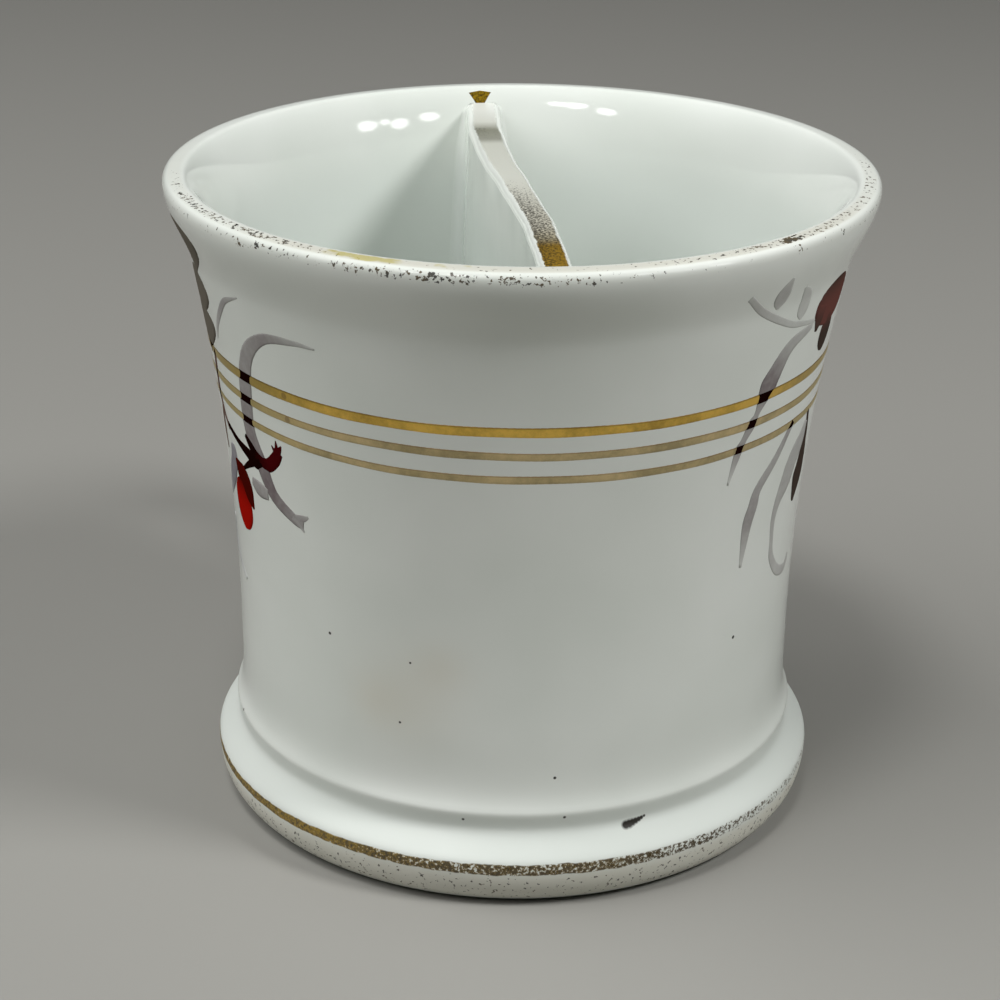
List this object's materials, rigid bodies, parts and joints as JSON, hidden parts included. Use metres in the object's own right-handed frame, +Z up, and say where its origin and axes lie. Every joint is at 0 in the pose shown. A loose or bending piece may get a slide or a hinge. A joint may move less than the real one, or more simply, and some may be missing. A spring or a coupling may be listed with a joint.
{
  "type": "shaving scuttle",
  "caption": "Porcelain shaving mug with a waisted wall, flared lip and swelling foot, an upright partition that keeps soap from water, and an ear handle.",
  "frame": {"origin": "centre of the footprint, handle included, on the surface the mug stands on", "axes": "+Z up, +Y towards the handle and along the partition, +X across to the right-hand compartment"},
  "size_m": [0.096, 0.1216, 0.09],
  "materials": {
    "white_porcelain": "clear gloss glaze over white porcelain, worn gilding on lip, wall lines and foot",
    "luting_slip": "clear gloss glaze over fired slip"
  },
  "bodies": {
    "root": {"cup_body": "white_porcelain", "partition": "white_porcelain", "handle": "white_porcelain", "left_slip_cove": "luting_slip", "right_slip_cove": "luting_slip", "upper_handle_slip": "luting_slip", "lower_handle_slip": "luting_slip"}
  },
  "joints": []
}
